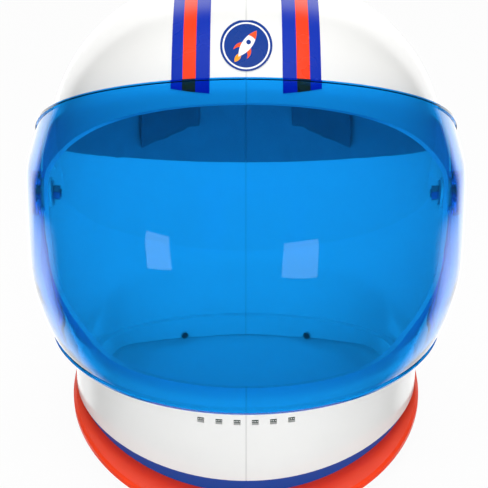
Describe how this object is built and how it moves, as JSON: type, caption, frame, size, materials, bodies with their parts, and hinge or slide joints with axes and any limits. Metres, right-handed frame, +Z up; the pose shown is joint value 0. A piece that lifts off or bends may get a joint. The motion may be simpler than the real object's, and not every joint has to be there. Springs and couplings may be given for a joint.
{
  "type": "astronaut costume helmet",
  "caption": "White moulded costume astronaut helmet with a flip-up blue tinted visor, orange neck collar, crown stripes and foam liner.",
  "frame": {"origin": "middle of the footprint, on the plane that the collar ring stands on", "axes": "+Z up, the face and visor look along -Y, +X is the wearer's left"},
  "size_m": [0.306, 0.307, 0.322],
  "materials": {
    "shell_white": "gloss",
    "visor_blue": "gloss",
    "ring_orange": "satin",
    "band_blue": "satin",
    "cap_white": "gloss",
    "steel": "satin",
    "washer_nylon": "matt",
    "liner_foam": "matt",
    "pad_foam": "matt",
    "mesh_green": "matt",
    "stripe_blue": "satin",
    "stripe_orange": "satin",
    "sticker_blue": "satin"
  },
  "bodies": {
    "shell": {"shell_left": "shell_white", "shell_right": "shell_white", "collar_ring": "ring_orange", "neck_band": "band_blue", "collar_screws": "steel", "pivot_screw_left": "steel", "pivot_screw_right": "steel", "pivot_washer_left": "washer_nylon", "pivot_washer_right": "washer_nylon", "inner_washer_left": "steel", "inner_washer_right": "steel", "pivot_nut_left": "steel", "pivot_nut_right": "steel", "hinge_cap_left": "cap_white", "hinge_cap_right": "cap_white", "crown_liner_left": "liner_foam", "crown_liner_right": "liner_foam", "nape_pad_left": "pad_foam", "nape_pad_right": "pad_foam", "crown_pad": "pad_foam", "chin_vent_mesh": "mesh_green", "stripe_blue_left": "stripe_blue", "stripe_blue_right": "stripe_blue", "stripe_orange_left": "stripe_orange", "stripe_orange_right": "stripe_orange", "roundel": "sticker_blue"},
    "visor": {"visor": "visor_blue"}
  },
  "joints": [
    {"name": "visor_flip", "type": "hinge", "parent": "shell", "child": "visor", "pos_m": [0, 0.0105, 0.17], "axis": [-1, 0, 0], "range_deg": [0, 78]}
  ]
}
